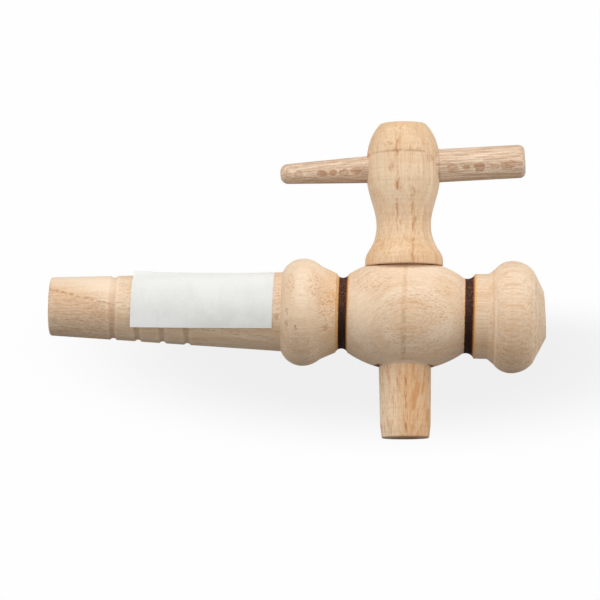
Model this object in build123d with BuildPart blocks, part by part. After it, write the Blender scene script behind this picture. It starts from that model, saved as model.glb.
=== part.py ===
from build123d import *
import os
from math import asin, cos, degrees, radians, sin, tan

# Wooden barrel spigot: a turned body, a plug key that turns in it, a peg handle and a paper label.
# Lengths are in millimetres and angles in degrees. X runs along the body, away from the barrel, and Z is up.
# The origin is on the body's axis, where the shank meets the shoulder that stops against the barrel.

os.makedirs("parts", exist_ok=True)

# Shank, a cone driven into the barrel's tap hole
SHANK_LENGTH = 83.5
SHANK_TIP_DIAMETER = 21.0
SHANK_ROOT_DIAMETER = 28.5
SHANK_TIP_ROUND = 0.9
GROOVE_COUNT = 4
GROOVE_FIRST = 23.0
GROOVE_PITCH = 8.9
GROOVE_WIDTH = 2.4
GROOVE_DEPTH = 0.65

# Shoulder bead and the neck behind the ball
BEAD_DIAMETER = 38.6
BEAD_RISE = 7.5
BEAD_FALL = 6.5
BEAD_FOOT_DIAMETER = 33.5
NECK_LENGTH = 5.5
NECK_DIAMETER = 28.5

# Burnt rings, one at each end of the ball
REAR_RING_WIDTH = 4.4
REAR_RING_DIAMETER = 25.5
FRONT_RING_WIDTH = 4.9
FRONT_RING_DIAMETER = 26.8

# Ball that holds the key
BALL_LENGTH = 40.4
BALL_DIAMETER = 40.4
BALL_EDGE_DIAMETER = 28.4
SCRIBE_WIDTH = 0.7
SCRIBE_DEPTH = 0.15

# Collar and knob, struck with a mallet to seat the shank
COLLAR_LENGTH = 4.8
COLLAR_DIAMETER = 30.5
COLLAR_COVE = 1.2
KNOB_FLANK = 2.4
KNOB_FOOT_DIAMETER = 34.4
KNOB_RISE = 6.2
KNOB_DIAMETER = 40.4
KNOB_FALL = 7.7
KNOB_SHOULDER_DIAMETER = 33.0
KNOB_NOSE = 4.2
KNOB_FACE_DIAMETER = 16.6
KNOB_FACE_SLANT = 3.9
KNOB_SHOULDER_ROUND = 1.0
KNOB_FACE_ROUND = 0.5

# Way of the liquid: along the shank, into the side of the key and down through the spout
INLET_DIAMETER = 7.2
PORT_DIAMETER = 8.0
SPOUT_BORE_DIAMETER = 10.6
BORE_OVERRUN = 0.7
DRILL_POINT_ANGLE = 118.0

# Key: its heights are above the flat that its flange turns on, and the cross bore leans towards the shank
KEY_LEAN = 1.8
SEAT_DEPTH = 2.8
PLUG_DIAMETER = 19.95
SPOUT_LENGTH = 24.3
PLUG_TAPER = 0.0162
SPOUT_TIP_LENGTH = 4.5
SPOUT_TIP_INSET = 0.45
SPOUT_END_ROUND = 0.7
FLANGE_DIAMETER = 28.1
FLANGE_RIM = 1.5
FLANGE_EDGE_ROUND = 0.5
FLARE_HEIGHT = 6.9
FLARE_DIAMETER = 23.7
WAIST_HEIGHT = 14.0
WAIST_DIAMETER = 19.6
HEAD_HEIGHT = 33.1
HEAD_DIAMETER = 26.5
CROWN_HEIGHT = 45.0
CROWN_DIAMETER = 24.2
TOP_HEIGHT = 51.65
TOP_DIAMETER = 16.3
TOP_ROUND = 0.7

# Peg handle, driven through the head from the thick end
PEG_HEIGHT = 35.8
PEG_TILT = 2.6
PEG_DIAMETER = 12.0
PEG_TIP_DIAMETER = 7.0
PEG_BUTT_REACH = 43.9
PEG_TIP_REACH = 44.4
PEG_BUTT_ROUND = 2.1
PEG_TIP_ROUND = 2.8

# Paper label round the front of the shank
LABEL_WIDTH = 50.8
LABEL_HEIGHT = 25.4
LABEL_GAP = 2.9
LABEL_BELOW_AXIS = 7.0
LABEL_THICKNESS = 0.15

# Clearances between the pieces
KEY_CLEARANCE = 0.05
SEAT_GAP = 0.3
SEAT_MARGIN = 0.4
PEG_CLEARANCE = 0.02
LABEL_CLEARANCE = 0.05

# Stations along the body's axis
bead_crest = BEAD_RISE
bead_foot = bead_crest + BEAD_FALL
neck_end = bead_foot + NECK_LENGTH
ball_rear = neck_end + REAR_RING_WIDTH
key_station = ball_rear + BALL_LENGTH / 2
ball_front = ball_rear + BALL_LENGTH
collar_start = ball_front + FRONT_RING_WIDTH
collar_end = collar_start + COLLAR_LENGTH
knob_foot = collar_end + KNOB_FLANK
knob_crest = knob_foot + KNOB_RISE
knob_shoulder = knob_crest + KNOB_FALL
knob_face = knob_shoulder + KNOB_NOSE
nose_slope = (KNOB_SHOULDER_DIAMETER - KNOB_FACE_DIAMETER) / 2 / KNOB_NOSE
nose_apex = knob_face + KNOB_FACE_DIAMETER / 2 / nose_slope
face_slant = radians(KNOB_FACE_SLANT)
knob_face_plane = Plane((knob_face, 0, 0), x_dir=(0, 1, 0), z_dir=(cos(face_slant), 0, sin(face_slant)))
shank_taper = (SHANK_ROOT_DIAMETER - SHANK_TIP_DIAMETER) / 2 / SHANK_LENGTH

# Axes and sketch planes of the key and of its peg; a sketch's x is away from the axis and its y is along it
lean = radians(KEY_LEAN)
key_up = Vector(-sin(lean), 0, cos(lean))
key_side = Vector(cos(lean), 0, sin(lean))
key_centre = Vector(key_station, 0, 0)
key_axis = Axis(key_centre, key_up)
key_plane = Plane(key_centre, x_dir=key_side, z_dir=(0, -1, 0))
flange_seat = BALL_DIAMETER / 2 - SEAT_DEPTH
spout_end = -BALL_DIAMETER / 2 - SPOUT_LENGTH
spout_tip = spout_end + SPOUT_TIP_LENGTH
flare = flange_seat + FLARE_HEIGHT
waist = flange_seat + WAIST_HEIGHT
head = flange_seat + HEAD_HEIGHT
crown = flange_seat + CROWN_HEIGHT
key_top = flange_seat + TOP_HEIGHT

peg_centre = key_centre + key_up * (flange_seat + PEG_HEIGHT)
peg_along = key_side * cos(radians(PEG_TILT)) + key_up * sin(radians(PEG_TILT))
peg_axis = Axis(peg_centre, peg_along)
peg_plane = Plane(peg_centre, x_dir=peg_along, z_dir=(0, -1, 0))
peg_taper_start = HEAD_DIAMETER / 2


def shank_radius(station):
    """Radius of the shank's cone at a station on the body's axis."""
    return SHANK_ROOT_DIAMETER / 2 + shank_taper * station


def plug_radius(height):
    """Radius of the key's plug at a height along the key's axis."""
    return PLUG_DIAMETER / 2 + PLUG_TAPER * (height - flange_seat)


def corner(sketch, x, y):
    """Corner of a sketch that lies nearest to a point of its plane."""
    return sketch.vertices().sort_by_distance((x, y, 0))[0]


def groove_circle(width, depth):
    """Radius of the tool that cuts a round groove, and how far its centre stands off the surface."""
    radius = (width**2 / 4 + depth**2) / (2 * depth)
    return radius, radius - depth


# Body, turned as one piece from the shank's tip to the knob
with BuildPart() as spigot_body:
    with BuildSketch(Plane.XZ) as body_profile:
        with BuildLine():
            Line((-SHANK_LENGTH, 0), (-SHANK_LENGTH, SHANK_TIP_DIAMETER / 2))
            Line((-SHANK_LENGTH, SHANK_TIP_DIAMETER / 2), (0, SHANK_ROOT_DIAMETER / 2))
            TangentArc(
                (bead_crest, BEAD_DIAMETER / 2), (0, SHANK_ROOT_DIAMETER / 2), tangent=(-1, 0)
            )
            TangentArc(
                (bead_crest, BEAD_DIAMETER / 2), (bead_foot, BEAD_FOOT_DIAMETER / 2), tangent=(1, 0)
            )
            Line((bead_foot, BEAD_FOOT_DIAMETER / 2), (neck_end, NECK_DIAMETER / 2))
            ThreePointArc(
                (neck_end, NECK_DIAMETER / 2),
                (neck_end + REAR_RING_WIDTH / 2, REAR_RING_DIAMETER / 2),
                (ball_rear, BALL_EDGE_DIAMETER / 2),
            )
            ThreePointArc(
                (ball_rear, BALL_EDGE_DIAMETER / 2),
                (key_station, BALL_DIAMETER / 2),
                (ball_front, BALL_EDGE_DIAMETER / 2),
            )
            ThreePointArc(
                (ball_front, BALL_EDGE_DIAMETER / 2),
                (ball_front + FRONT_RING_WIDTH / 2, FRONT_RING_DIAMETER / 2),
                (collar_start, COLLAR_DIAMETER / 2),
            )
            Line((collar_start, COLLAR_DIAMETER / 2), (collar_end, COLLAR_DIAMETER / 2))
            Line((collar_end, COLLAR_DIAMETER / 2), (knob_foot, KNOB_FOOT_DIAMETER / 2))
            TangentArc(
                (knob_crest, KNOB_DIAMETER / 2), (knob_foot, KNOB_FOOT_DIAMETER / 2), tangent=(-1, 0)
            )
            TangentArc(
                (knob_crest, KNOB_DIAMETER / 2),
                (knob_shoulder, KNOB_SHOULDER_DIAMETER / 2),
                tangent=(1, 0),
            )
            Line((knob_shoulder, KNOB_SHOULDER_DIAMETER / 2), (nose_apex, 0))
            Line((nose_apex, 0), (-SHANK_LENGTH, 0))
        make_face()
        fillet(corner(body_profile, -SHANK_LENGTH, SHANK_TIP_DIAMETER / 2), SHANK_TIP_ROUND)
        fillet(corner(body_profile, collar_end, COLLAR_DIAMETER / 2), COLLAR_COVE)
        fillet(corner(body_profile, knob_shoulder, KNOB_SHOULDER_DIAMETER / 2), KNOB_SHOULDER_ROUND)
    revolve(axis=Axis.X)

    # Face of the knob, sawn off a little out of square
    split(bisect_by=knob_face_plane, keep=Keep.BOTTOM)
    fillet(spigot_body.faces().sort_by(Axis.X)[-1].edges(), KNOB_FACE_ROUND)

    # Turned grooves round the shank, and the line scribed round the middle of the ball
    groove_radius, groove_stand_off = groove_circle(GROOVE_WIDTH, GROOVE_DEPTH)
    groove_stations = [-SHANK_LENGTH + GROOVE_FIRST + GROOVE_PITCH * i for i in range(GROOVE_COUNT)]
    with BuildSketch(Plane.XZ):
        with Locations(*[(x, shank_radius(x) + groove_stand_off) for x in groove_stations]):
            Circle(groove_radius)
    revolve(axis=Axis.X, mode=Mode.SUBTRACT)
    scribe_radius, scribe_stand_off = groove_circle(SCRIBE_WIDTH, SCRIBE_DEPTH)
    with BuildSketch(Plane.XZ):
        with Locations((key_station, BALL_DIAMETER / 2 + scribe_stand_off)):
            Circle(scribe_radius)
    revolve(axis=Axis.X, mode=Mode.SUBTRACT)

    # Tapered cross bore for the plug, and the flat that the key's flange turns on
    with BuildSketch(key_plane):
        with BuildLine():
            Polyline(
                (0, -BALL_DIAMETER),
                (plug_radius(-BALL_DIAMETER) + KEY_CLEARANCE, -BALL_DIAMETER),
                (plug_radius(BALL_DIAMETER) + KEY_CLEARANCE, BALL_DIAMETER),
                (0, BALL_DIAMETER),
                close=True,
            )
        make_face()
    revolve(axis=key_axis, mode=Mode.SUBTRACT)
    with BuildSketch(key_plane):
        with Locations((0, flange_seat - SEAT_GAP)):
            Rectangle(FLANGE_DIAMETER / 2 + SEAT_MARGIN, BALL_DIAMETER, align=(Align.MIN, Align.MIN))
    revolve(axis=key_axis, mode=Mode.SUBTRACT)

    # Inlet, bored along the shank as far as the key
    with BuildSketch(Plane.YZ.offset(-SHANK_LENGTH)):
        Circle(INLET_DIAMETER / 2)
    extrude(amount=SHANK_LENGTH + key_station, mode=Mode.SUBTRACT)

# Key, turned as one piece: spout, plug, flange, waist and head
with BuildPart() as key:
    with BuildSketch(key_plane) as key_profile:
        with BuildLine():
            Polyline(
                (0, key_top),
                (0, spout_end),
                (plug_radius(spout_end) - SPOUT_TIP_INSET, spout_end),
                (plug_radius(spout_tip), spout_tip),
                (PLUG_DIAMETER / 2, flange_seat),
                (FLANGE_DIAMETER / 2, flange_seat),
                (FLANGE_DIAMETER / 2, flange_seat + FLANGE_RIM),
            )
            Spline(
                (FLANGE_DIAMETER / 2, flange_seat + FLANGE_RIM),
                (FLARE_DIAMETER / 2, flare),
                (WAIST_DIAMETER / 2, waist),
                (HEAD_DIAMETER / 2, head),
                tangents=[(0, 1), (0, 1)],
            )
            Spline(
                (HEAD_DIAMETER / 2, head),
                (CROWN_DIAMETER / 2, crown),
                (TOP_DIAMETER / 2, key_top),
                tangents=[(0, 1), (-1, 1)],
            )
            Line((TOP_DIAMETER / 2, key_top), (0, key_top))
        make_face()
        fillet(corner(key_profile, plug_radius(spout_end) - SPOUT_TIP_INSET, spout_end), SPOUT_END_ROUND)
        fillet(corner(key_profile, FLANGE_DIAMETER / 2, flange_seat), FLANGE_EDGE_ROUND)
        fillet(corner(key_profile, TOP_DIAMETER / 2, key_top), TOP_ROUND)
    revolve(axis=key_axis)

    # Tapered hole for the peg
    with BuildSketch(peg_plane):
        with BuildLine():
            Polyline(
                (-PEG_TIP_REACH, 0),
                (-PEG_TIP_REACH, PEG_TIP_DIAMETER / 2 + PEG_CLEARANCE),
                (peg_taper_start, PEG_DIAMETER / 2 + PEG_CLEARANCE),
                (PEG_BUTT_REACH, PEG_DIAMETER / 2 + PEG_CLEARANCE),
                (PEG_BUTT_REACH, 0),
                close=True,
            )
        make_face()
    revolve(axis=peg_axis, mode=Mode.SUBTRACT)

    # Port that meets the inlet, and the bore that leads from it down the spout, with its drill point
    with BuildSketch(Plane(key_centre, x_dir=(0, 1, 0), z_dir=key_side * -1)):
        Circle(PORT_DIAMETER / 2)
    extrude(amount=PLUG_DIAMETER, mode=Mode.SUBTRACT)
    bore_top = PORT_DIAMETER / 2 + BORE_OVERRUN
    drill_point = SPOUT_BORE_DIAMETER / 2 / tan(radians(DRILL_POINT_ANGLE / 2))
    with BuildSketch(key_plane):
        with BuildLine():
            Polyline(
                (0, spout_end),
                (SPOUT_BORE_DIAMETER / 2, spout_end),
                (SPOUT_BORE_DIAMETER / 2, bore_top),
                (0, bore_top + drill_point),
                close=True,
            )
        make_face()
    revolve(axis=key_axis, mode=Mode.SUBTRACT)

# Peg: a straight grip that tapers from the head's face to a rounded tip
with BuildPart() as handle_peg:
    with BuildSketch(peg_plane) as peg_profile:
        with BuildLine():
            Polyline(
                (-PEG_TIP_REACH, 0),
                (-PEG_TIP_REACH, PEG_TIP_DIAMETER / 2),
                (peg_taper_start, PEG_DIAMETER / 2),
                (PEG_BUTT_REACH, PEG_DIAMETER / 2),
                (PEG_BUTT_REACH, 0),
                close=True,
            )
        make_face()
        fillet(corner(peg_profile, -PEG_TIP_REACH, PEG_TIP_DIAMETER / 2), PEG_TIP_ROUND)
        fillet(corner(peg_profile, PEG_BUTT_REACH, PEG_DIAMETER / 2), PEG_BUTT_ROUND)
    revolve(axis=peg_axis)

# Paper label, bent round the shank from near its top to below its front
label_near = -LABEL_GAP
label_far = label_near - LABEL_WIDTH
label_middle_radius = shank_radius((label_near + label_far) / 2) + LABEL_CLEARANCE
label_lower_angle = degrees(asin(LABEL_BELOW_AXIS / label_middle_radius))
label_wrap = degrees(LABEL_HEIGHT / label_middle_radius)
label_top_angle = 90 + label_lower_angle - label_wrap
with BuildPart() as paper_label:
    with BuildSketch(Plane.XZ.rotated((label_top_angle, 0, 0))):
        with BuildLine():
            Polyline(
                (label_far, shank_radius(label_far) + LABEL_CLEARANCE),
                (label_near, shank_radius(label_near) + LABEL_CLEARANCE),
                (label_near, shank_radius(label_near) + LABEL_CLEARANCE + LABEL_THICKNESS),
                (label_far, shank_radius(label_far) + LABEL_CLEARANCE + LABEL_THICKNESS),
                close=True,
            )
        make_face()
    revolve(axis=Axis.X, revolution_arc=label_wrap)

spigot_body.part.label = "spigot_body"
key.part.label = "key"
handle_peg.part.label = "handle_peg"
paper_label.part.label = "paper_label"

export_step(spigot_body.part, "parts/spigot_body.step")
export_step(key.part, "parts/key.step")
export_step(handle_peg.part, "parts/handle_peg.step")
export_step(paper_label.part, "parts/paper_label.step")
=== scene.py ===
import logging
import math
from dataclasses import dataclass
from enum import Enum
from typing import Any, Dict, Optional, Sequence, Tuple, Union

import bpy
from mathutils import Euler, Matrix, Vector


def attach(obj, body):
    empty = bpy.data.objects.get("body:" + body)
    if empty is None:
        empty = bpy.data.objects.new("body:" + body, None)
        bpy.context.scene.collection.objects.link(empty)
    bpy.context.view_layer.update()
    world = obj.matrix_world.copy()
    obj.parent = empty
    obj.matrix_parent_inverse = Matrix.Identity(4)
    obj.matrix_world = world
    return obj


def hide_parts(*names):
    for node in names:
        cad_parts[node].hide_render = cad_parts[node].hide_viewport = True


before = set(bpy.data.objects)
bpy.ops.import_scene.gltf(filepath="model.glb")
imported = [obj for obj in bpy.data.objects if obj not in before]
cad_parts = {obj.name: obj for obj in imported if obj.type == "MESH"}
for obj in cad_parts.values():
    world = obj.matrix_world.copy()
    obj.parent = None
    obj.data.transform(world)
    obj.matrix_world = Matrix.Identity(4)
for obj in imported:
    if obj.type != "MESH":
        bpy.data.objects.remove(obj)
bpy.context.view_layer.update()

MILLI = 0.001
NOISE_ROUGHNESS = 0.55
SPOT_EDGE = (0.45, 1.1)

LOG = logging.getLogger("spigot")

Colour = Tuple[float, float, float]
Point = Tuple[float, float, float]
Span = Tuple[float, float]
Oval = Tuple[Span, Span]
Value = Union[float, Sequence[float], "Socket"]


class Node(Enum):
    """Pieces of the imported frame."""

    BODY = "spigot_body"
    KEY = "key"
    PEG = "handle_peg"
    LABEL = "paper_label"


class Slot(Enum):
    """Material slot of the record."""

    LABEL = "label_paper"


class Rider(Enum):
    """Body that a new piece moves with."""

    TAP = "tap_body"


def linear(red: int, green: int, blue: int) -> Colour:
    """Turns a display colour into scene-linear numbers.

    Args:
        red: Red, 0 to 255.
        green: Green, 0 to 255.
        blue: Blue, 0 to 255.

    Returns:
        The three linear channels, 0 to 1.
    """
    def channel(code: int) -> float:
        """Linear value of one display code."""
        share = code / 255
        return share / 12.92 if share <= 0.04045 else ((share + 0.055) / 1.055) ** 2.4

    return channel(red), channel(green), channel(blue)


class Socket:
    """A node's output, whose arithmetic adds Math nodes to its graph."""

    def __init__(self, graph: "Graph", output: bpy.types.NodeSocket) -> None:
        """Keeps the output and the graph it belongs to.

        Args:
            graph: Graph that new nodes are added to.
            output: Output socket of a node in that graph.
        """
        self.graph = graph
        self.output = output

    def math(self, operation: str, *operands: Value) -> "Socket":
        """Adds a Math node.

        Args:
            operation: Name of the node's operation.
            *operands: Its inputs, in order.

        Returns:
            The node's result.
        """
        return self.graph.add("ShaderNodeMath", {"operation": operation}, dict(enumerate(operands)))

    def __add__(self, other: Value) -> "Socket":
        """Sum."""
        return self.math("ADD", self, other)

    __radd__ = __add__

    def __sub__(self, other: Value) -> "Socket":
        """Difference."""
        return self.math("SUBTRACT", self, other)

    def __rsub__(self, other: Value) -> "Socket":
        """Difference from a number."""
        return self.math("SUBTRACT", other, self)

    def __mul__(self, other: Value) -> "Socket":
        """Product."""
        return self.math("MULTIPLY", self, other)

    __rmul__ = __mul__

    def __truediv__(self, other: Value) -> "Socket":
        """Quotient."""
        return self.math("DIVIDE", self, other)

    def __rtruediv__(self, other: Value) -> "Socket":
        """Quotient of a number."""
        return self.math("DIVIDE", other, self)

    def __abs__(self) -> "Socket":
        """Size without its sign."""
        return self.math("ABSOLUTE", self)

    def root(self) -> "Socket":
        """Square root."""
        return self.math("SQRT", self)

    def part(self) -> "Socket":
        """What is left over a whole number."""
        return self.math("FRACT", self)

    def most(self, other: Value) -> "Socket":
        """The greater of two values."""
        return self.math("MAXIMUM", self, other)

    def rise(self, low: float, high: float) -> "Socket":
        """Smooth step from 0 to 1.

        Args:
            low: Value at which it leaves 0.
            high: Value at which it reaches 1.

        Returns:
            The step.
        """
        return self.graph.add(
            "ShaderNodeMapRange", {"interpolation_type": "SMOOTHSTEP"}, {0: self, 1: low, 2: high}
        )

    def fall(self, low: float, high: float) -> "Socket":
        """Smooth step from 1 to 0."""
        return 1.0 - self.rise(low, high)

    def band(self, low: float, high: float, soft: float) -> "Socket":
        """Smooth mask of an interval.

        Args:
            low: Lower end.
            high: Upper end.
            soft: Half the width of each edge.

        Returns:
            1 inside, 0 outside.
        """
        return self.rise(low - soft, low + soft) * self.fall(high - soft, high + soft)


class Graph:
    """Nodes of one material or world."""

    def __init__(self, owner: Union[bpy.types.Material, bpy.types.World]) -> None:
        """Empties the owner's graph.

        Args:
            owner: Material or world that the nodes belong to.
        """
        self.owner = owner
        owner.use_nodes = True
        self.tree = owner.node_tree
        self.tree.nodes.clear()

    def add(
        self,
        kind: str,
        settings: Optional[Dict[str, Any]] = None,
        inputs: Optional[Dict[Union[int, str], Value]] = None,
        output: int = 0,
    ) -> Optional[Socket]:
        """Adds a node.

        Args:
            kind: Type of the node.
            settings: Attributes to set on it.
            inputs: Values or outputs for its inputs, by number or name.
            output: Number of the output to return.

        Returns:
            That output, or None for a node that has no outputs.
        """
        node = self.tree.nodes.new(kind)
        for key, value in (settings or {}).items():
            setattr(node, key, value)
        for key, value in (inputs or {}).items():
            if isinstance(value, Socket):
                self.tree.links.new(value.output, node.inputs[key])
            else:
                node.inputs[key].default_value = value
        return Socket(self, node.outputs[output]) if node.outputs else None

    def place(self, centre: Point, turn: float) -> Socket:
        """Object coordinates in millimetres about a centre.

        Args:
            centre: Point that becomes the origin, in millimetres.
            turn: Turn about Y that lays the piece's own axis along X or Z, in degrees.

        Returns:
            The coordinates.
        """
        angles = Euler((0.0, math.radians(turn), 0.0))
        shift = -(angles.to_matrix() @ Vector(centre))
        coordinates = self.add("ShaderNodeTexCoord", output=3)
        return self.add(
            "ShaderNodeMapping",
            {"vector_type": "POINT"},
            {0: coordinates, 1: tuple(shift), 2: tuple(angles), 3: (1.0 / MILLI,) * 3},
        )

    def join(self, x: Socket, y: Socket, z: Socket) -> Socket:
        """A vector of three parts."""
        return self.add("ShaderNodeCombineXYZ", inputs={0: x, 1: y, 2: z})

    def axes(self, vector: Socket) -> Tuple[Socket, Socket, Socket]:
        """Takes a vector apart.

        Args:
            vector: The vector.

        Returns:
            Its three parts.
        """
        first = self.add("ShaderNodeSeparateXYZ", inputs={0: vector})
        outputs = first.output.node.outputs
        return first, Socket(self, outputs[1]), Socket(self, outputs[2])

    def noise(self, vector: Socket, rate: Point, detail: float = 2.0, warp: float = 0.0) -> Socket:
        """Noise stretched along the axes.

        Args:
            vector: Coordinates in millimetres.
            rate: Cells per millimetre along each axis.
            detail: Octaves added to the first.
            warp: Distortion.

        Returns:
            The noise, about 0.5.
        """
        stretched = self.add("ShaderNodeVectorMath", {"operation": "MULTIPLY"}, {0: vector, 1: rate})
        return self.add(
            "ShaderNodeTexNoise", {"noise_dimensions": "3D"},
            {
                "Vector": stretched, "Scale": 1.0, "Detail": detail, "Roughness": NOISE_ROUGHNESS,
                "Distortion": warp,
            },
        )

    def mix(self, factor: Value, first: Value, second: Value) -> Socket:
        """Mixes two colours.

        Args:
            factor: Share of the second.
            first: Colour under it.
            second: Colour over it.

        Returns:
            The mixed colour.
        """
        def opaque(colour: Value) -> Value:
            """A plain colour with its alpha."""
            return colour if isinstance(colour, Socket) else (*colour, 1.0)

        return self.add(
            "ShaderNodeMix", {"data_type": "RGBA", "blend_type": "MIX"},
            {0: factor, 6: opaque(first), 7: opaque(second)}, output=2,
        )

    def spot(self, u: Socket, v: Socket, oval: Oval) -> Socket:
        """Soft oval mask.

        Args:
            u: First coordinate.
            v: Second coordinate.
            oval: Middle of the oval, and half its length along each coordinate.

        Returns:
            1 in the middle, 0 outside.
        """
        centre, reach = oval
        across = (u - centre[0]) / reach[0]
        along = (v - centre[1]) / reach[1]
        return (across * across + along * along).root().fall(*SPOT_EDGE)

    def end(self, kind: str, shader: Socket) -> None:
        """Adds the output node that takes the shader."""
        self.add(kind, inputs={"Surface": shader})


class Ground:
    """One material: its coordinates in millimetres, and the colour painted on it so far."""

    def __init__(
        self, name: str, base: Colour, centre: Point = (0.0, 0.0, 0.0), turn: float = 0.0
    ) -> None:
        """Starts the material.

        Args:
            name: Name of the material.
            base: Colour under every layer.
            centre: Point that becomes the origin, in millimetres.
            turn: Turn about Y that lays the piece's own axis along X or Z, in degrees.
        """
        self.graph = Graph(bpy.data.materials.new(name))
        self.colour: Value = base
        self.place = self.graph.place(centre, turn)
        self.x, self.y, self.z = self.graph.axes(self.place)

    def noise(self, rate: Point, detail: float = 2.0, warp: float = 0.0) -> Socket:
        """Noise on the material's own coordinates."""
        return self.graph.noise(self.place, rate, detail, warp)

    def spot(self, oval: Oval) -> Socket:
        """Soft oval mask in the XZ plane."""
        return self.graph.spot(self.x, self.z, oval)

    def paint(self, share: Value, tone: Value) -> None:
        """Lays a share of a tone over what is there."""
        self.colour = self.graph.mix(share, self.colour, tone)

    def finish(
        self, rough: Value, height: Socket, depth: float, gloss: float, glow: float = 0.0
    ) -> bpy.types.Material:
        """Joins the graph to its shader.

        Args:
            rough: Roughness.
            height: Height for the bump, in units of depth.
            depth: Depth of the bump, in metres.
            gloss: Specular level of the shader.
            glow: Strength of its white emission.

        Returns:
            The material.
        """
        graph = self.graph
        normal = graph.add("ShaderNodeBump", inputs={"Strength": 1.0, "Distance": depth, "Height": height})
        shader = graph.add(
            "ShaderNodeBsdfPrincipled",
            inputs={
                "Base Color": self.colour, "Roughness": rough, "Normal": normal,
                "Specular IOR Level": gloss, "Emission Strength": glow,
            },
        )
        graph.end("ShaderNodeOutputMaterial", shader)
        return graph.owner


@dataclass(frozen=True)
class Grain:
    """Figure that every wood here shares: growth rings, fibres and pores."""

    light: Colour
    shade: Colour
    ring: Colour
    pore: Colour
    pith: Span
    tilt: float
    spacing: float
    wander: float
    ring_share: float
    pore_share: float
    arcs: float
    trails: float

    def lay(self, wood: Ground, along: Socket, across: Socket, up: Socket) -> Tuple[Socket, Socket]:
        """Paints the figure.

        Args:
            wood: Material to paint, with the light tone as its base.
            along: Coordinate along the fibres, in millimetres.
            across: First coordinate across them.
            up: Second coordinate across them.

        Returns:
            Height and fibre noise.
        """
        graph = wood.graph
        place = graph.join(along, across, up)
        drift = graph.noise(place, (0.022, 0.07, 0.07))
        left = across - self.pith[0]
        rise = up - self.pith[1]
        radius = (left * left + rise * rise).root() + along * self.tilt + (drift - 0.5) * self.wander
        phase = (radius / self.spacing).part()
        late = phase.rise(0.0, 0.7) * phase.fall(0.8, 1.0)
        early = phase.fall(0.05, 0.42)
        fibre = graph.noise(place, (0.05, 2.1, 2.1), 3.0)
        broad = graph.noise(place, (0.02, 0.16, 0.16))
        dust = graph.noise(place, (1.1, 2.2, 2.2))
        specks = graph.noise(place, (0.55, 2.6, 2.6), 1.0).rise(0.54, 0.66)
        trails = graph.noise(place, (0.045, 0.7, 0.7)).rise(0.48, 0.64)
        fleck = specks * (trails * self.trails + early * self.arcs)
        tone = fibre.rise(0.32, 0.68) * 0.5 + broad.rise(0.34, 0.68) * 0.32 + dust.rise(0.44, 0.66) * 0.4
        wood.paint(tone, self.shade)
        wood.paint(late * self.ring_share, self.ring)
        wood.paint(trails * self.ring_share * self.trails, self.ring)
        wood.paint(fleck * self.pore_share, self.pore)
        return fibre * 0.5 + dust * 0.3 - fleck * 0.2 - late * 0.08, fibre


@dataclass(frozen=True)
class Scatter:
    """Masks and noises that several marks of the body share."""

    front: Socket
    dashes: Socket
    grit: Socket
    worn: Socket
    ragged: Socket
    lathe: Socket


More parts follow.
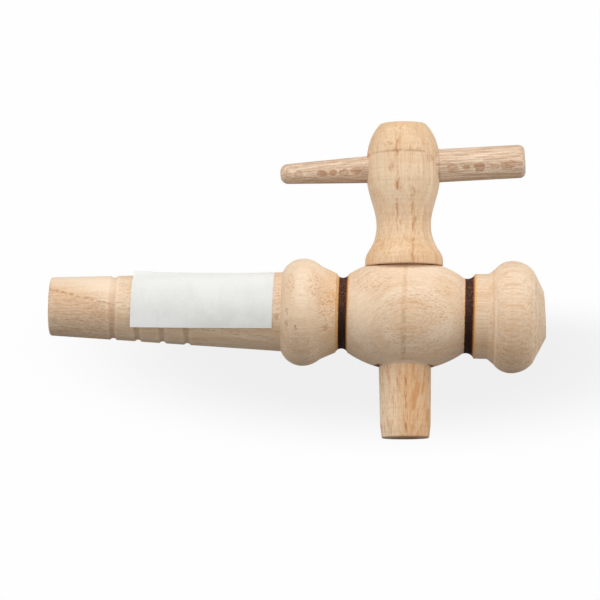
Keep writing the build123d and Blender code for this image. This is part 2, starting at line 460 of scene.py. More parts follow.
@dataclass(frozen=True)
class BodyWood:
    """Pale turned wood of the body, with two burnt rings. Places are in millimetres."""

    grain: Grain = Grain(
        light=linear(243, 222, 196), shade=linear(222, 190, 155), ring=linear(210, 160, 110),
        pore=linear(186, 122, 72), pith=(34.0, -12.0), tilt=0.08, spacing=7.0, wander=3.0,
        ring_share=0.24, pore_share=0.5, arcs=0.8, trails=0.6,
    )
    char: Colour = linear(23, 13, 11)
    ember: Colour = linear(126, 84, 70)
    scorch: Colour = linear(150, 82, 36)
    gold: Colour = linear(234, 172, 92)
    pale: Colour = linear(250, 232, 208)
    warm: Colour = linear(228, 170, 102)
    scribe: Colour = linear(176, 146, 112)
    torn: Colour = linear(116, 54, 32)
    streak: Colour = linear(156, 90, 46)
    depth: float = 0.00009
    gloss: float = 0.22
    front_edge: Span = (-2.0, 2.0)

    sweep: float = 18.0
    sweep_run: Span = (14.0, 46.0)
    ball: Span = (24.0, 64.0)
    painted_top_highlight: Span = (5.0, 17.0)
    ball_arcs: Oval = ((32.0, 10.0), (9.0, 5.5))
    ball_heart: Oval = ((47.0, -3.0), (11.0, 9.0))
    ball_left_sheen: Oval = ((29.0, -2.0), (6.0, 11.0))
    neck_start: Span = (13.6, 19.6)
    neck_end: Span = (23.0, 24.0)
    scribe_half: float = 0.85
    scribe_turn: Span = (-6.0, 6.0)

    bead: Span = (0.5, 14.0)
    bead_highlight: Oval = ((5.0, 9.6), (-2.0, 12.0))
    knob_start: Span = (69.5, 76.0)
    knob_wisps: Span = (76.0, 80.0)
    knob_ridge_highlights: Tuple[Span, Span] = ((89.9, 90.3), (91.4, 91.8))
    knob_crease_shade: Span = (75.5, 76.1)
    knob_lip_highlight: Span = (76.5, 77.0)

    groove_first: float = -60.5
    groove_pitch: float = 8.9
    groove_count: int = 4
    groove_margin: float = 3.0
    crack_slope: float = -0.232
    crack_drop: float = 13.75
    crack_end: Span = (-64.0, -58.0)
    tip_end: Span = (-64.0, -54.0)

    marks: Tuple[Tuple[Oval, float], ...] = (
        (((2.6, -1.3), (0.6, 1.6)), 0.5), (((5.7, -7.1), (0.6, 1.2)), 0.8),
        (((2.4, -5.3), (0.8, 1.4)), 0.45), (((15.9, -6.5), (1.4, 1.2)), 0.4),
        (((-1.1, -2.9), (0.9, 1.5)), 0.5),
    )
    clusters: Tuple[Oval, ...] = (
        ((16.5, 2.0), (4.5, 8.0)), ((12.0, 9.5), (3.0, 6.5)), ((3.3, 9.0), (2.0, 5.0)),
    )

    key_station: float = 44.1
    key_lean: float = 1.8
    exit_radius: float = 10.1
    exit_level: Span = (-14.0, -11.0)
    exit_ends: Span = (7.5, 9.6)
    exit_chip: Oval = ((34.4, -18.9), (1.8, 0.5))

    rings: Tuple[Span, Span] = ((20.55, 23.3), (65.7, 68.55))
    burn_spread: Tuple[Span, Span] = ((0.0, 0.0), (0.0, 0.0))
    glow_spread: Tuple[Span, Span] = ((0.7, 0.7), (0.2, 1.1))
    fringe_spread: Tuple[Span, Span] = ((0.1, 0.3), (0.05, 0.4))

    def build(self, name: str) -> bpy.types.Material:
        """Makes the material.

        Args:
            name: Name of the material.

        Returns:
            The material.
        """
        wood = Ground(name, self.grain.light)
        curved = wood.z - wood.x.rise(*self.sweep_run) * self.sweep
        height, fibre = self.grain.lay(wood, wood.x, wood.y, curved)
        scatter = Scatter(
            front=wood.y.fall(*self.front_edge),
            dashes=wood.noise((0.5, 1.8, 1.8)).rise(0.45, 0.6),
            grit=wood.noise((0.7, 2.4, 2.4)).rise(0.42, 0.56),
            worn=wood.noise((0.45, 0.45, 0.45)),
            ragged=wood.noise((0.7, 0.7, 0.7)),
            lathe=wood.noise((2.3, 0.03, 0.03)),
        )
        self.paint_ball(wood, scatter)
        turned = self.paint_turning(wood, scatter)
        self.paint_shank(wood, scatter)
        self.paint_bead(wood, scatter)
        wisps = wood.noise((0.07, 1.0, 1.0)).rise(0.5, 0.64) * wood.x.rise(*self.knob_wisps)
        wood.paint(wisps * 0.38, self.grain.ring)
        chip, edge = self.paint_exit(wood, scatter)
        burn, speck = self.paint_rings(wood)
        height = height + turned * scatter.lathe * 0.9 - burn * speck * 0.8
        height = height - chip * 3.0 - edge * scatter.ragged * 2.0
        return wood.finish(fibre * 0.12 + burn * 0.3 + 0.54, height, self.depth, self.gloss)

    def paint_ball(self, wood: Ground, scatter: Scatter) -> None:
        """Paints painted sheen on the ball, a painted highlight along the top of the body, the ball's neck,
        the worn line under the key and the heart of its figure.

        Args:
            wood: Material to paint.
            scatter: Shared masks and noises.
        """
        x, z, front, dashes = wood.x, wood.z, scatter.front, scatter.dashes
        # painted sheen: pale noise patches over the ball
        painted_sheen = wood.noise((0.035, 0.1, 0.1), 1.0).rise(0.48, 0.66) * x.band(*self.ball, 1.0)
        wood.paint(painted_sheen * 0.22, self.pale)
        # painted highlight: the upper side of the whole body is paler
        wood.paint(z.rise(*self.painted_top_highlight) * 0.26, self.pale)
        arcs = wood.spot(self.ball_arcs) * wood.noise((0.6, 2.2, 2.2)).rise(0.55, 0.66)
        wood.paint(arcs * front * 0.6, self.grain.pore)
        neck = x.rise(*self.neck_start) * x.fall(*self.neck_end)
        wood.paint(neck * (dashes * 0.4 + 0.12), self.warm)
        line = x.band(self.key_station - self.scribe_half, self.key_station + self.scribe_half, 0.4)
        line = line * scatter.worn.rise(0.3, 0.6)
        wood.paint(line * z.fall(*self.scribe_turn) * 0.5, self.scribe)
        wood.paint(line * z.rise(*self.scribe_turn) * (dashes * 0.4 + 0.2), self.grain.ring)
        wood.paint(wood.spot(self.ball_heart) * front * (dashes * 0.2 + 0.14), self.grain.ring)
        # painted sheen: a pale patch on the ball's left side
        wood.paint(wood.spot(self.ball_left_sheen) * front * 0.3, self.pale)

    def paint_turning(self, wood: Ground, scatter: Scatter) -> Socket:
        """Paints the lathe's lines on bead and knob, a painted highlight on their upper side, painted
        highlights on the knob's ridges and lip, and painted shade in its crease.

        Args:
            wood: Material to paint.
            scatter: Shared masks and noises.

        Returns:
            Mask of bead and knob.
        """
        x, z = wood.x, wood.z
        turned = x.rise(*self.knob_start) + x.band(*self.bead, 0.8)
        wood.paint(turned * scatter.lathe.rise(0.45, 0.75) * 0.12, self.grain.ring)
        # painted highlight: the upper side of bead and knob is paler
        wood.paint(turned * z.rise(-14.0, 4.0) * 0.17, self.pale)
        # painted highlights on the knob's two ridges
        inner, outer = self.knob_ridge_highlights
        wood.paint(x.band(*inner, 0.25).most(x.band(*outer, 0.25)) * 0.36, self.pale)
        # painted shade in the crease between collar and knob
        wood.paint(x.band(*self.knob_crease_shade, 0.4) * 0.34, self.grain.ring)
        # painted highlight on the lip right of the crease, on its lower part
        wood.paint(x.band(*self.knob_lip_highlight, 0.4) * z.fall(0.0, 8.0) * 0.45, self.pale)
        return turned

    def paint_shank(self, wood: Ground, scatter: Scatter) -> None:
        """Paints painted shade in the shank's grooves and painted highlights on their lips, and the crack and
        tones of its tip.

        Args:
            wood: Material to paint.
            scatter: Shared masks and noises.
        """
        x, z, front = wood.x, wood.z, scatter.front
        last = self.groove_first + self.groove_pitch * (self.groove_count - 1)
        run = x.band(self.groove_first - self.groove_margin, last + self.groove_margin, 0.5)
        step = ((x - self.groove_first) / self.groove_pitch + 0.5).part() - 0.5
        groove_shade = abs(step).fall(0.06, 0.15) * run
        groove_lip_highlight = abs(abs(step) - 0.19).fall(0.0, 0.07) * run
        # painted shade in the grooves, in the streak colour, lighter towards the top; painted highlight on
        # their lips
        wood.paint(groove_shade * (0.13 - z.rise(0.0, 9.0) * 0.08), self.streak)
        wood.paint(groove_lip_highlight * 0.22, self.pale)

        below = x * self.crack_slope - self.crack_drop - z
        crack = abs(below).fall(0.1, 0.9) * x.fall(*self.crack_end) * scatter.grit
        wood.paint(crack * front * 0.5, self.streak)
        tip = x.fall(*self.tip_end)
        wood.paint(below.fall(-7.0, 1.0) * tip * front * 0.6, self.pale)
        wood.paint(below.rise(-1.0, 3.0) * tip * front * (scatter.dashes * 0.22 + 0.06), self.streak)

    def paint_bead(self, wood: Ground, scatter: Scatter) -> None:
        """Paints a painted highlight up the bead's middle, its marks and its clusters of flecks.

        Args:
            wood: Material to paint.
            scatter: Shared masks and noises.
        """
        x, z = wood.x, wood.z
        # painted highlight: pale lathe lines up the bead's middle
        along, up = self.bead_highlight
        wood.paint(x.band(*along, 1.6) * z.band(*up, 4.0) * scatter.lathe * 0.5, self.pale)
        for oval, share in self.marks:
            mark = wood.graph.spot(x + (scatter.worn - 0.5) * 3.0, z, oval) * scatter.front
            wood.paint(mark * (scatter.grit * 0.8 + 0.2) * share, self.streak)
        sparse = wood.noise((0.9, 1.6, 1.6)).rise(0.52, 0.62)
        torn_x = x + (scatter.worn - 0.5) * 5.0
        torn_z = z + (scatter.ragged - 0.5) * 6.0
        for oval in self.clusters:
            cluster = wood.graph.spot(torn_x, torn_z, oval) * scatter.front
            wood.paint(cluster * sparse * 0.5, self.grain.pore)

    def paint_exit(self, wood: Ground, scatter: Scatter) -> Tuple[Socket, Socket]:
        """Paints the chipped rim where the key's bore leaves the ball, with a painted highlight along its
        middle and torn wood at its ends.

        Args:
            wood: Material to paint.
            scatter: Shared masks and noises.

        Returns:
            Masks of the chip and of the rim.
        """
        graph, ragged = wood.graph, scatter.ragged
        key_x, key_y, _ = graph.axes(graph.place((self.key_station, 0.0, 0.0), self.key_lean))
        rim = (key_x * key_x + key_y * key_y).root() - self.exit_radius
        edge = (rim - (ragged - 0.5) * 2.2).fall(0.15, 0.8) * wood.z.fall(*self.exit_level)
        ends = abs(key_x).rise(*self.exit_ends)
        # painted highlight along the middle of the ragged rim; the torn wood at its two ends is real
        wood.paint(edge * (1.0 - ends) * 0.7, self.pale)
        wood.paint(edge * ends * 0.8, self.torn)
        chip = graph.spot(wood.x, wood.z + (ragged - 0.5) * 1.4, self.exit_chip) * scatter.front
        wood.paint(chip * 0.95, self.torn)
        return chip, edge

    def paint_rings(self, wood: Ground) -> Tuple[Socket, Socket]:
        """Paints the two burnt rings with their glow and fringe.

        Args:
            wood: Material to paint.

        Returns:
            Mask of the rings, and the noise of their ash.
        """
        burnt_x = wood.x + (wood.noise((0.3, 2.8, 2.8), 3.0) - 0.5) * 0.75

        def both(spreads: Tuple[Span, Span], soft: float) -> Socket:
            """Masks both rings.

            Args:
                spreads: How far each mask reaches past its ring's two edges.
                soft: Half the width of each edge.

            Returns:
                1 on the rings, 0 elsewhere.
            """
            rear, fore = (
                burnt_x.band(ring[0] - spread[0], ring[1] + spread[1], soft)
                for ring, spread in zip(self.rings, spreads)
            )
            return rear.most(fore)

        wood.paint(both(self.glow_spread, 0.4) * 0.75, self.gold)
        wood.paint(both(self.fringe_spread, 0.2) * 0.85, self.scorch)
        speck = wood.noise((2.8, 2.8, 2.8))
        turns = wood.noise((5.0, 0.06, 0.3), 1.0)
        # ash specks only on the upper part of the rings: real ash, lighter on top as painted light
        ash = speck.rise(0.48, 0.6) * wood.z.rise(-8.0, 9.0) + turns.rise(0.56, 0.7) * 0.3
        burn = both(self.burn_spread, 0.16)
        wood.paint(burn * 0.96, wood.graph.mix(ash * 0.8, self.char, self.ember))
        return burn, speck


@dataclass(frozen=True)
class KeyWood:
    """Warmer wood of the key, its grain upright, with brown streaks. Places are in millimetres."""

    grain: Grain = Grain(
        light=linear(243, 219, 187), shade=linear(222, 187, 147), ring=linear(204, 150, 97),
        pore=linear(192, 120, 58), pith=(30.0, 9.0), tilt=0.05, spacing=5.0, wander=4.0,
        ring_share=0.24, pore_share=0.45, arcs=0.25, trails=1.0,
    )
    streak: Colour = linear(180, 108, 44)
    rust: Colour = linear(168, 80, 28)
    groove: Colour = linear(156, 106, 64)
    orange: Colour = linear(198, 124, 60)
    pale: Colour = linear(250, 230, 202)
    red: Colour = linear(208, 132, 74)
    amber: Colour = linear(224, 170, 112)
    end: Colour = linear(120, 78, 50)
    depth: float = 0.00009
    gloss: float = 0.35
    front_edge: Span = (-2.0, 2.0)

    centre: Point = (44.1, 0.0, 0.0)
    lean: float = 1.8
    grip: Span = (36.0, 56.0)
    upper_line: Span = (-2.75, -1.85)
    upper_start: Span = (27.0, 33.0)
    lower_line: Span = (2.7, 3.5)
    lower_end: Span = (40.0, 48.0)
    marks: Tuple[Oval, ...] = (
        ((-5.1, 60.5), (1.5, 1.1)), ((-0.8, 65.5), (0.9, 2.0)), ((-1.1, 62.0), (0.8, 2.0)),
        ((-3.6, 52.0), (2.0, 2.4)), ((-2.0, 45.5), (1.0, 3.2)), ((3.4, 43.0), (1.4, 2.2)),
        ((-1.2, 32.0), (0.8, 3.4)), ((3.9, 32.5), (0.9, 2.6)), ((9.5, 55.5), (1.6, 1.6)),
    )
    scribe_height: float = 58.0
    scribe_bow: float = 0.004
    red_spot: Oval = ((-12.4, 57.2), (0.9, 0.8))
    crown_shade: Span = (57.0, 65.0)
    flange: Span = (16.0, 24.0)

    spout: Span = (-20.0, -16.0)
    spout_amber: Span = (-18.0, -12.0)
    spout_end: float = -44.5
    foot_line: Oval = ((-0.1, 0.8), (-42.0, -22.0))
    foot_branch: Oval = ((-3.1, -2.4), (-31.0, -22.0))
    plume_slant: float = 0.22

    def build(self, name: str) -> bpy.types.Material:
        """Makes the material.

        Args:
            name: Name of the material.

        Returns:
            The material.
        """
        wood = Ground(name, self.grain.light, self.centre, self.lean)
        x, y, z = wood.x, wood.y, wood.z
        height, fibre = self.grain.lay(wood, z, y, x)
        front = y.fall(*self.front_edge)
        wood.paint(z.band(*self.grip, 5.0) * 0.25, self.pale)

        sway = (wood.noise((0.05, 0.05, 0.05), 1.0) - 0.5) * 1.6
        dots = wood.noise((1.4, 1.4, 0.32)).rise(0.44, 0.58)
        upper = (x + sway).band(*self.upper_line, 0.28) * z.rise(*self.upper_start)
        lower = (x + sway).band(*self.lower_line, 0.28) * z.fall(*self.lower_end)
        lines = upper.most(lower) * dots * front
        wood.paint(lines * 0.56, self.streak)
        torn_x = x + (wood.noise((0.5, 0.5, 0.5)) - 0.5) * 2.0
        for oval in self.marks:
            mark = wood.graph.spot(torn_x, z, oval) * front
            wood.paint(mark * (dots * 0.38 + 0.1), self.streak)

        self.paint_spout(wood)
        along, up = self.foot_line
        foot = (x - sway * 0.5).band(*along, 0.3) * z.band(*up, 2.0)
        along, up = self.foot_branch
        foot = foot.most((x - sway).band(*along, 0.3) * z.band(*up, 2.0) * 0.6) * dots * front
        wood.paint(foot * 0.85, self.rust)
        scribe = self.paint_head(wood, front)
        # darker end face of the spout: end grain, with painted shade where it faces down
        tip = z.fall(self.spout_end + 0.1, self.spout_end + 0.9)
        wood.paint(tip * 0.55, self.end)
        height = height - scribe * 0.15 - (lines + foot) * 0.06
        return wood.finish(fibre * 0.12 + 0.52, height, self.depth, self.gloss)

    def paint_spout(self, wood: Ground) -> None:
        """Paints the spout's pale side and its orange plumes.

        Args:
            wood: Material to paint.
        """
        x, y, z = wood.x, wood.y, wood.z
        spout = z.fall(*self.spout)
        fan = wood.graph.join(x - z * self.plume_slant, y, z)
        plumes = wood.graph.noise(fan, (0.9, 0.5, 0.09)).rise(0.46, 0.62) * x.rise(0.0, 3.5)
        flames = wood.noise((1.1, 0.5, 0.14), 3.0, 0.4).rise(0.5, 0.64) * x.fall(0.5, 4.0)
        mottle = wood.noise((1.6, 1.6, 0.8)).rise(0.5, 0.7) * 0.4
        wood.paint(x.fall(-5.0, 1.0) * spout * 0.55, self.pale)
        wood.paint((plumes * 1.15 + flames * 0.7 + mottle) * spout * 0.62, self.orange)

    def paint_head(self, wood: Ground, front: Socket) -> Socket:
        """Paints the lathe's lines, the scribed line, the tones of flange and spout, and painted shade on the
        crown.

        Args:
            wood: Material to paint.
            front: Mask of the front.

        Returns:
            Mask of the scribed line.
        """
        x, z = wood.x, wood.z
        wood.paint(wood.noise((0.05, 0.05, 1.5)).rise(0.46, 0.68) * 0.15, self.grain.ring)
        bow = z - self.scribe_height + x * x * self.scribe_bow
        scribe = abs(bow).fall(0.1, 0.8) * wood.noise((0.3, 0.3, 0.3)).rise(0.32, 0.6)
        wood.paint(scribe * (0.58 - abs(x).rise(2.0, 9.0) * 0.28), self.groove)
        wood.paint(wood.spot(self.red_spot) * front * 0.65, self.red)
        amber = z.fall(*self.spout_amber) * (x.rise(-7.0, 2.0) * 0.3 + 0.06)
        wood.paint(amber + z.band(*self.flange, 4.0) * 0.2, self.amber)
        # painted shade: the top of the key is darker
        wood.paint(z.rise(*self.crown_shade) * 0.4, self.grain.shade)
        return scribe


@dataclass(frozen=True)
class PegWood:
    """Greyer wood of the peg, with fine dark lines and ray flecks. Places are in millimetres."""

    grain: Grain = Grain(
        light=linear(250, 229, 204), shade=linear(226, 195, 164), ring=linear(158, 113, 80),
        pore=linear(122, 82, 58), pith=(26.0, 4.0), tilt=0.03, spacing=1.3, wander=2.0,
        ring_share=0.25, pore_share=0.6, arcs=0.4, trails=0.6,
    )
    ray: Colour = linear(178, 122, 78)
    cream: Colour = linear(252, 238, 214)
    depth: float = 0.00008
    gloss: float = 0.35
    front_edge: Span = (-2.0, 0.5)
    centre: Point = (42.43, 0.0, 53.17)
    tilt: float = 4.4
    thin_end: Span = (-20.0, 0.0)
    entry_shade: Span = (12.6, 13.2)
    rays: Tuple[Oval, ...] = (
        ((-41.1, -0.6), (2.0, 1.6)), ((-37.8, -0.7), (2.4, 1.8)), ((-29.3, -0.9), (2.8, 1.8)),
        ((-25.1, -0.9), (2.2, 1.6)), ((-21.3, -0.9), (2.4, 1.8)), ((-17.0, -0.8), (3.0, 2.0)),
        ((17.9, -1.9), (3.0, 2.2)), ((22.6, -1.8), (2.0, 1.5)), ((27.4, -1.6), (3.0, 2.3)),
        ((32.8, -2.0), (2.3, 1.6)), ((36.2, -1.5), (2.2, 2.1)), ((38.8, -1.5), (2.3, 2.2)),
        ((41.5, -1.4), (1.9, 1.8)),
    )

    def build(self, name: str) -> bpy.types.Material:
        """Makes the material.

        Args:
            name: Name of the material.

        Returns:
            The material.
        """
        wood = Ground(name, self.grain.light, self.centre, self.tilt)
        graph, x, y, z = wood.graph, wood.x, wood.y, wood.z
        height, fibre = self.grain.lay(wood, x, y, z)
        front = y.fall(*self.front_edge)
        wood.paint(x.fall(*self.thin_end) * 0.06, self.ray)
        ragged_x = x + (wood.noise((0.3, 0.6, 0.6)) - 0.5) * 2.4
        ragged_z = z + (wood.noise((0.35, 0.5, 0.5)) - 0.5) * 1.8
        flecks = graph.spot(ragged_x, ragged_z, self.rays[0])
        for oval in self.rays[1:]:
            flecks = flecks.most(graph.spot(ragged_x, ragged_z, oval))
        core = flecks.rise(0.35, 1.0)
        patchy = wood.noise((0.3, 0.9, 0.9), 3.0).rise(0.38, 0.62)
        wood.paint(flecks.rise(0.0, 0.3) * (1.0 - core) * front * 0.25, self.cream)
        wood.paint(core * front * (patchy * 0.45 + 0.22), self.ray)
        waved = graph.join(x, y, z + core * 0.5 * front)
        lines = graph.noise(waved, (0.09, 1.9, 1.9), 2.0, 0.3).rise(0.5, 0.58)
        wood.paint(lines * 0.44, self.grain.ring)
        # painted shade where the peg enters the key
        wood.paint(x.band(*self.entry_shade, 0.25) * 0.25, self.grain.pore)
        return wood.finish(fibre * 0.12 + 0.5, height - lines * 0.25, self.depth, self.gloss)


@dataclass(frozen=True)
class Paper:
    """Plain uncoated paper, with painted light along its edges and on its lower left, and a faint smudge.
    Places are in millimetres.
    """

    sheet: Colour = linear(229, 229, 225)
    cloud: Colour = linear(214, 215, 212)
    edges: Colour = linear(240, 240, 236)
    painted_lower_left_light: Colour = linear(252, 253, 251)
    depth: float = 0.00003
    gloss: float = 0.3
    upper_edge: Span = (5.0, 13.0)
    lower_edge: Span = (-9.0, 1.0)
    bright_up: Span = (-9.0, -2.0)
    bright_along: Span = (-48.0, -22.0)
    smudge: Oval = ((-19.0, -3.5), (17.0, 5.0))

    def build(self, name: str) -> bpy.types.Material:
        """Makes the material.

        Args:
            name: Name of the material.

        Returns:
            The material.
        """
        paper = Ground(name, self.sheet)
        x, z = paper.x, paper.z
        cloud = paper.noise((0.12, 0.12, 0.12), 3.0)
        fibres = paper.noise((1.8, 3.0, 3.0), 3.0)
        creases = paper.noise((0.4, 0.16, 0.16), 3.0, 0.6).rise(0.5, 0.7)
        paper.paint(cloud.rise(0.35, 0.7) * 0.3 + fibres.rise(0.45, 0.7) * 0.4 + creases * 0.08, self.cloud)
        # painted light: upper and lower edges brighter
        paper.paint(z.rise(*self.upper_edge) * 0.7 + z.fall(*self.lower_edge), self.edges)
        # painted light: the lower left brighter
        paper.paint(z.fall(*self.bright_up) * x.fall(*self.bright_along), self.painted_lower_left_light)
        smudge = paper.spot(self.smudge) * cloud.rise(0.4, 0.6)
        paper.paint(smudge * 0.3 + creases * 0.12, self.cloud)
        return paper.finish(fibres * 0.1 + 0.74, fibres, self.depth, self.gloss)


@dataclass(frozen=True)
class Plain:
    """Even matte paint of the stage, lit a little from within."""

    tone: Colour
    glow: float
    gloss: float = 0.1
    rough: float = 0.9
    dimming: float = 0.9

    def build(self, name: str) -> bpy.types.Material:
        """Makes the material.

        Args:
            name: Name of the material.

        Returns:
            The material.
        """
        paint = Ground(name, self.tone)
        speck = paint.noise((0.02, 0.02, 0.02))
        paint.paint(speck * 0.06, tuple(channel * self.dimming for channel in self.tone))
        return paint.finish(self.rough, speck, 0.0, self.gloss, self.glow)


def dress(target: bpy.types.Object, material: bpy.types.Material) -> None:
    """Gives an object one material.

    Args:
        target: Object to dress.
        material: Its material.
    """
    target.data.materials.clear()
    target.data.materials.append(material)


def deselect() -> None:
    """Leaves nothing selected, in object mode."""
    if bpy.context.object and bpy.context.object.mode != "OBJECT":
        bpy.ops.object.mode_set(mode="OBJECT")
    bpy.ops.object.select_all(action="DESELECT")


def activate(target: bpy.types.Object) -> None:
    """Makes one object the active one, and the only one selected.

    Args:
        target: The object.
    """
    deselect()
    target.select_set(True)
    bpy.context.view_layer.objects.active = target


def modify(target: bpy.types.Object, name: str, kind: str, settings: Dict[str, Any]) -> None:
    """Gives the active object a modifier and applies it.

    Args:
        target: The active object.
        name: Name of the modifier.
        kind: Its type.
        settings: Attributes to set on it, in order.
    """
    modifier = target.modifiers.new(name, kind)
    for key, value in settings.items():
        setattr(modifier, key, value)
    bpy.ops.object.modifier_apply(modifier=modifier.name)


@dataclass
class Woodwork:
    """The turned pieces, whose shapes are the frame's own."""

    body_finish: BodyWood = BodyWood()
    key_finish: KeyWood = KeyWood()
    peg_finish: PegWood = PegWood()

    def dress(self) -> None:
        """Gives each turned piece its wood."""
        dress(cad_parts[Node.BODY.value], self.body_finish.build("turned_body_wood"))
        dress(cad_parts[Node.KEY.value], self.key_finish.build("turned_key_wood"))
        dress(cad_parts[Node.PEG.value], self.peg_finish.build("peg_wood"))


@dataclass
class PaperLabel:
    """Paper label bent round the shank, its far corner and lower edge lifting.

    Sizes are in millimetres and angles in degrees.
    """

    width: float = 50.8
    height: float = 25.4
    middle: float = -28.3
    radius: float = 13.05
    root_radius: float = 14.25
    taper: float = 0.04491
    narrowing: float = -0.168
    mid_angle: float = 22.6
    stand_off: float = 0.08
    thickness: float = 0.1
    lift: float = 1.6
    lift_from: float = 0.82
    lift_curve: float = 2.5
    gape: float = 0.75
    gape_from: float = 0.42
    gape_near: float = 0.3
    slant: float = 0.5
    smooth_angle: float = 40.0
    columns: int = 72
    rows: int = 40
    former_sides: int = 512
    finish: Paper = Paper()

    def build(self) -> bpy.types.Object:
        """Models the sheet.

        Returns:
            The finished piece.
        """
        deselect()
        bpy.ops.mesh.primitive_grid_add(
            x_subdivisions=self.columns, y_subdivisions=self.rows, size=1.0, rotation=(math.pi / 2, 0.0, 0.0)
        )
        sheet = bpy.context.object
        sheet.name = "label_sheet"
        sheet.scale = (self.width * MILLI, self.height * MILLI, 1.0)
        bpy.ops.object.transform_apply(location=False, rotation=True, scale=True)
        self.mark(sheet)
        sheet.rotation_euler = (0.0, math.radians(self.slant), 0.0)
        bpy.ops.object.transform_apply(location=False, rotation=True, scale=False)
        modify(sheet, "fan", "SIMPLE_DEFORM", {
            "deform_method": "TAPER", "deform_axis": "X", "factor": self.narrowing,
        })
        modify(sheet, "wrap", "SIMPLE_DEFORM", {
            "deform_method": "BEND", "deform_axis": "X", "angle": self.height / self.radius,
        })
        sheet.location = (self.middle * MILLI, -self.radius * MILLI, 0.0)
        bpy.ops.object.transform_apply(location=True, rotation=False, scale=False)
        sheet.rotation_euler = (-math.radians(self.mid_angle), 0.0, 0.0)
        bpy.ops.object.transform_apply(location=False, rotation=True, scale=False)
        self.press(sheet)
        modify(sheet, "lift", "DISPLACE", {
            "vertex_group": "lift", "direction": "NORMAL", "mid_level": 0.0, "strength": self.lift * MILLI,
        })
        modify(sheet, "thickness", "SOLIDIFY", {"thickness": self.thickness * MILLI, "offset": 1.0})
        bpy.ops.object.shade_smooth_by_angle(angle=math.radians(self.smooth_angle))
        return sheet

    def mark(self, sheet: bpy.types.Object) -> None:
        """Weighs how far each point of the flat sheet will lift: its far upper corner and its lower edge.

        Args:
            sheet: Flat sheet, standing on its long edge.
        """
        weights = sheet.vertex_groups.new(name="lift")
        for vertex in sheet.data.vertices:
            far = 0.5 - vertex.co.x / (self.width * MILLI)
            up = 0.5 + vertex.co.z / (self.height * MILLI)
            reach = max(0.0, (up - self.lift_from) / (1.0 - self.lift_from))
            low = max(0.0, (self.gape_from - up) / self.gape_from)
            gape = self.gape * (self.gape_near + (1.0 - self.gape_near) * far) * low**2
            weights.add([vertex.index], far**self.lift_curve * reach**2 + gape, "REPLACE")

    def press(self, sheet: bpy.types.Object) -> None:
        """Presses the bent sheet on to the shank's cone, and leaves the sheet active.

        Args:
            sheet: Sheet to press.
        """
        far = self.middle - self.width
        near = self.middle + self.width
        deselect()
        bpy.ops.mesh.primitive_cone_add(
            vertices=self.former_sides,
            radius1=(self.root_radius + self.taper * far) * MILLI,
            radius2=(self.root_radius + self.taper * near) * MILLI,
            depth=(near - far) * MILLI,
            location=(self.middle * MILLI, 0.0, 0.0),
            rotation=(0.0, math.pi / 2, 0.0),
        )
        former = bpy.context.object
        activate(sheet)
        modify(sheet, "press", "SHRINKWRAP", {
            "target": former, "wrap_method": "NEAREST_SURFACEPOINT", "wrap_mode": "ABOVE_SURFACE",
            "offset": self.stand_off * MILLI,
        })
        bpy.data.objects.remove(former, do_unlink=True)

    def dress(self, sheet: bpy.types.Object) -> None:
        """Gives the sheet its paper and its place in the frame.

        Args:
            sheet: The finished piece.
        """
        dress(sheet, self.finish.build("uncoated_paper"))
        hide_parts(Node.LABEL.value)
        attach(sheet, Rider.TAP.value)


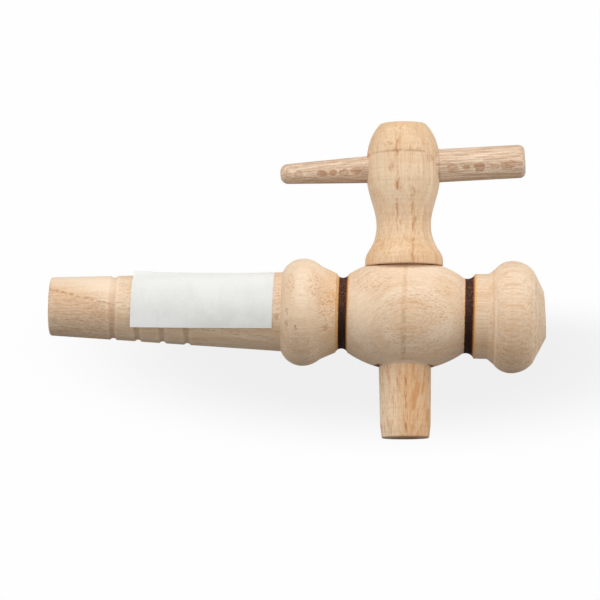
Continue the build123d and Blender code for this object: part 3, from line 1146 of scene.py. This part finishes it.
@dataclass
class Studio:
    """Pale floor, soft lamps and a white surround. Sizes are in metres."""

    floor_height: float = -0.24
    floor_size: float = 14.0
    floor_tone: Colour = linear(244, 244, 245)
    floor_glow: float = 0.75
    target: Point = (0.01, 0.0, 0.0)
    lamps: Tuple[Tuple[str, Point, float, float], ...] = (
        ("key_lamp", (-0.04, -0.50, 0.62), 0.62, 4.3),
        ("right_lamp", (0.75, -0.32, 0.25), 0.6, 1.7),
        ("left_lamp", (-0.75, -0.32, 0.25), 0.6, 1.2),
        ("rear_lamp", (0.25, 0.70, 0.60), 0.8, 1.2),
    )
    horizon: float = 0.99
    zenith: float = 0.16
    zenith_run: Span = (0.22, 0.42)
    nadir: float = 0.30
    nadir_run: Span = (-0.30, -0.06)
    shadow: float = 0.13
    shadow_oval: Oval = ((-0.0126, 0.075), (0.095, 0.028))
    shadow_top: Span = (0.081, 0.093)
    shadow_depth: Span = (0.0, 0.5)

    def build(self) -> None:
        """Makes the floor, the lamps and the surround."""
        deselect()
        bpy.ops.mesh.primitive_plane_add(size=self.floor_size, location=(0.0, 0.0, self.floor_height))
        floor = bpy.context.object
        floor.name = "studio_floor"
        floor.visible_diffuse = False
        floor.visible_glossy = False
        dress(floor, Plain(self.floor_tone, self.floor_glow).build("pale_floor"))
        for name, place, size, power in self.lamps:
            self.hang(name, Vector(place), size, power)
        self.surround()

    def hang(self, name: str, place: Vector, size: float, power: float) -> None:
        """Hangs a square soft lamp that faces the object.

        Args:
            name: Name of the lamp.
            place: Where it hangs.
            size: Length of its side.
            power: Its power, in watts.
        """
        bpy.ops.object.light_add(type="AREA", location=place)
        lamp = bpy.context.object
        lamp.name = name
        lamp.rotation_euler = (Vector(self.target) - place).to_track_quat("-Z", "Y").to_euler()
        lamp.data.shape = "SQUARE"
        lamp.data.size = size
        lamp.data.energy = power

    def surround(self) -> None:
        """Makes the world white at the horizon, dimmer overhead and underneath, with a soft grey behind."""
        world = bpy.data.worlds.new("white_surround")
        bpy.context.scene.world = world
        graph = Graph(world)
        side, depth, height = graph.axes(graph.add("ShaderNodeTexCoord"))
        overhead = height.rise(*self.zenith_run) * (self.zenith - self.horizon) + self.horizon
        underneath = height.rise(*self.nadir_run) * (1.0 - self.nadir) + self.nadir
        soft = graph.spot(side, height, self.shadow_oval) * depth.rise(*self.shadow_depth)
        soft = soft * height.fall(*self.shadow_top)
        strength = overhead * underneath * (1.0 - soft * self.shadow)
        light = graph.add(
            "ShaderNodeBackground", inputs={"Color": (1.0, 1.0, 1.0, 1.0), "Strength": strength}
        )
        graph.end("ShaderNodeOutputWorld", light)


@dataclass
class Viewpoint:
    """Long lens a little below the object.

    Lengths are in metres, the sensor's in millimetres, and angles in degrees.
    """

    aim: Point = (0.0064, 0.0, 0.0044)
    distance: float = 1.3
    azimuth: float = 2.0
    elevation: float = -5.1
    roll: float = 1.5
    frame_width: float = 0.216
    sensor: float = 36.0
    clip: Span = (0.01, 60.0)

    def build(self) -> None:
        """Makes the camera and the plain view transform."""
        side, tip = math.radians(self.azimuth), math.radians(self.elevation)
        back = Vector((math.sin(side) * math.cos(tip), -math.cos(side) * math.cos(tip), math.sin(tip)))
        place = Vector(self.aim) + back * self.distance
        turn = (-back).to_track_quat("-Z", "Y").to_matrix() @ Matrix.Rotation(math.radians(self.roll), 3, "Z")
        data = bpy.data.cameras.new("studio_camera")
        data.sensor_width = self.sensor
        data.lens = self.sensor * self.distance / self.frame_width
        data.clip_start, data.clip_end = self.clip
        camera = bpy.data.objects.new("studio_camera", data)
        camera.matrix_world = Matrix.Translation(place) @ turn.to_4x4()
        scene = bpy.context.scene
        scene.collection.objects.link(camera)
        scene.camera = camera
        scene.view_settings.view_transform = "Standard"
        scene.view_settings.look = "None"


def main() -> None:
    """Builds and dresses every piece, then the studio and the camera."""
    logging.basicConfig(level=logging.INFO, format="%(message)s")
    woodwork = Woodwork()
    woodwork.dress()
    LOG.info("wood on body, key and peg")
    label = PaperLabel()
    sheet = label.build()
    label.dress(sheet)
    LOG.info("%s: %d faces", sheet.name, len(sheet.data.polygons))
    Studio().build()
    LOG.info("studio")
    Viewpoint().build()
    LOG.info("camera")


if __name__ == "__main__":
    main()
